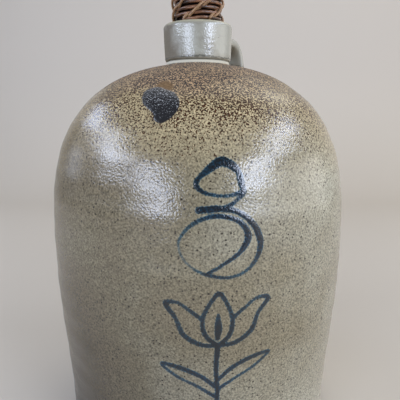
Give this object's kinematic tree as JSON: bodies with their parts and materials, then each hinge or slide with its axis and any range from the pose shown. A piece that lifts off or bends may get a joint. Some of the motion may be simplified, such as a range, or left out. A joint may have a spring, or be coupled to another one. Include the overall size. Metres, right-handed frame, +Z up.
{
  "type": "stoneware crock jug",
  "caption": "Domed salt-glazed stoneware jug with a thick collar, a strap handle, blue slip decoration and a lift-out cork stopper with a wicker-wrapped knob, for storing liquids.",
  "frame": {"origin": "centre of the flat base, on the surface the jug stands on", "axes": "+Z up along the jug's axis, +Y towards the handle, decoration on the -Y and +X side"},
  "size_m": [0.254, 0.254, 0.3884],
  "materials": {
    "salt_glaze": "glossy salt glaze with an orange-peel surface and brown speckle",
    "cork": "raw cork",
    "turned_wood": "dry turned wood",
    "wicker": "bark-brown willow strand"
  },
  "bodies": {
    "jug": {"jug_body": "salt_glaze", "neck_collar": "salt_glaze", "strap_handle": "salt_glaze"},
    "stopper": {"cork_plug": "cork", "knob_core": "turned_wood", "wicker_winding": "wicker", "lacing_strand_1": "wicker", "lacing_strand_2": "wicker", "lacing_strand_3": "wicker", "lacing_strand_4": "wicker", "lacing_strand_5": "wicker", "lacing_strand_6": "wicker", "lacing_strand_7": "wicker", "lacing_strand_8": "wicker", "lacing_strand_9": "wicker", "lacing_strand_10": "wicker", "lacing_strand_11": "wicker", "lacing_strand_12": "wicker"}
  },
  "joints": [
    {"name": "stopper_lift", "type": "slide", "parent": "jug", "child": "stopper", "axis": [0, 0, 1], "range_m": [0, 0.06]}
  ]
}
